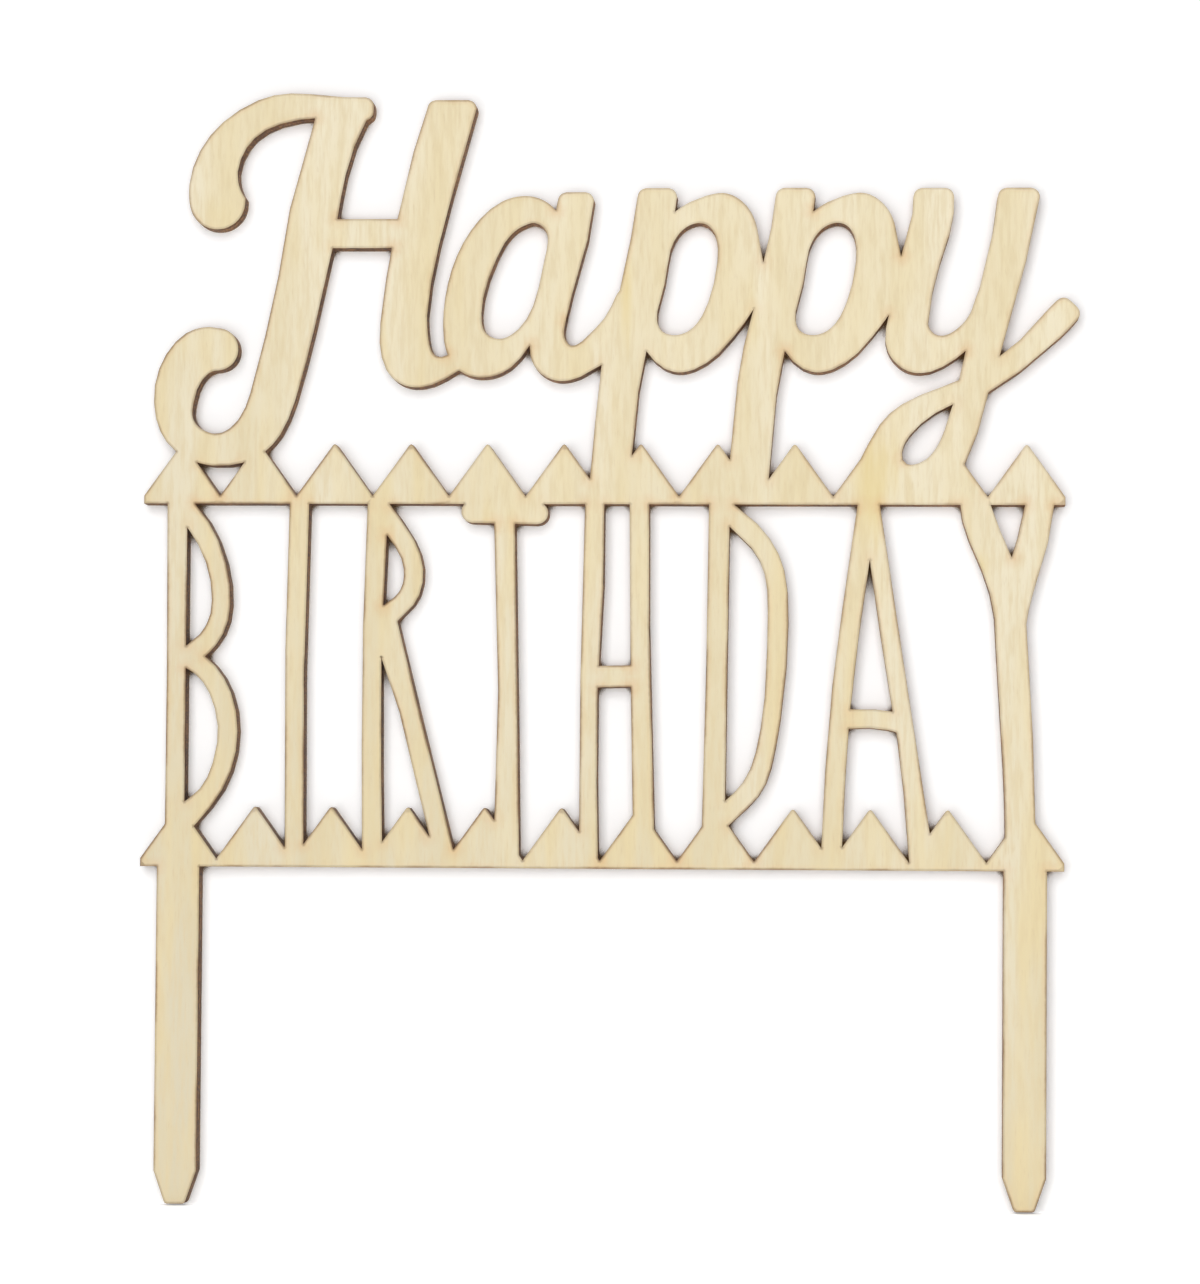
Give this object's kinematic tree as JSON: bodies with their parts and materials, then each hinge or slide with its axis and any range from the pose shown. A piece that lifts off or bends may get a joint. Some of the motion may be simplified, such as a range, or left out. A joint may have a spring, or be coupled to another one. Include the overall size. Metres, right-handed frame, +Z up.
{
  "type": "cake topper",
  "caption": "Flat plywood cake topper with a script word over tall thin capitals between saw-tooth rails, held up by flat stakes that push into the cake.",
  "frame": {"origin": "midway between the stakes and between the sheet's faces, at the bottom rail's lower edge, which is level with the top of the cake when the stakes are pushed in", "axes": "+Z up, +X to the reader's right along the rails, -Y out of the front face towards the reader"},
  "size_m": [0.1502, 0.003, 0.1789],
  "materials": {
    "face_veneer": "raw, sanded, laser-cut",
    "core_veneer": "raw, laser-cut",
    "glue_line": "cured resin"
  },
  "bodies": {
    "root": {"front_veneer": "face_veneer", "front_glue_line": "glue_line", "core_veneer": "core_veneer", "back_glue_line": "glue_line", "back_veneer": "face_veneer"}
  },
  "joints": []
}
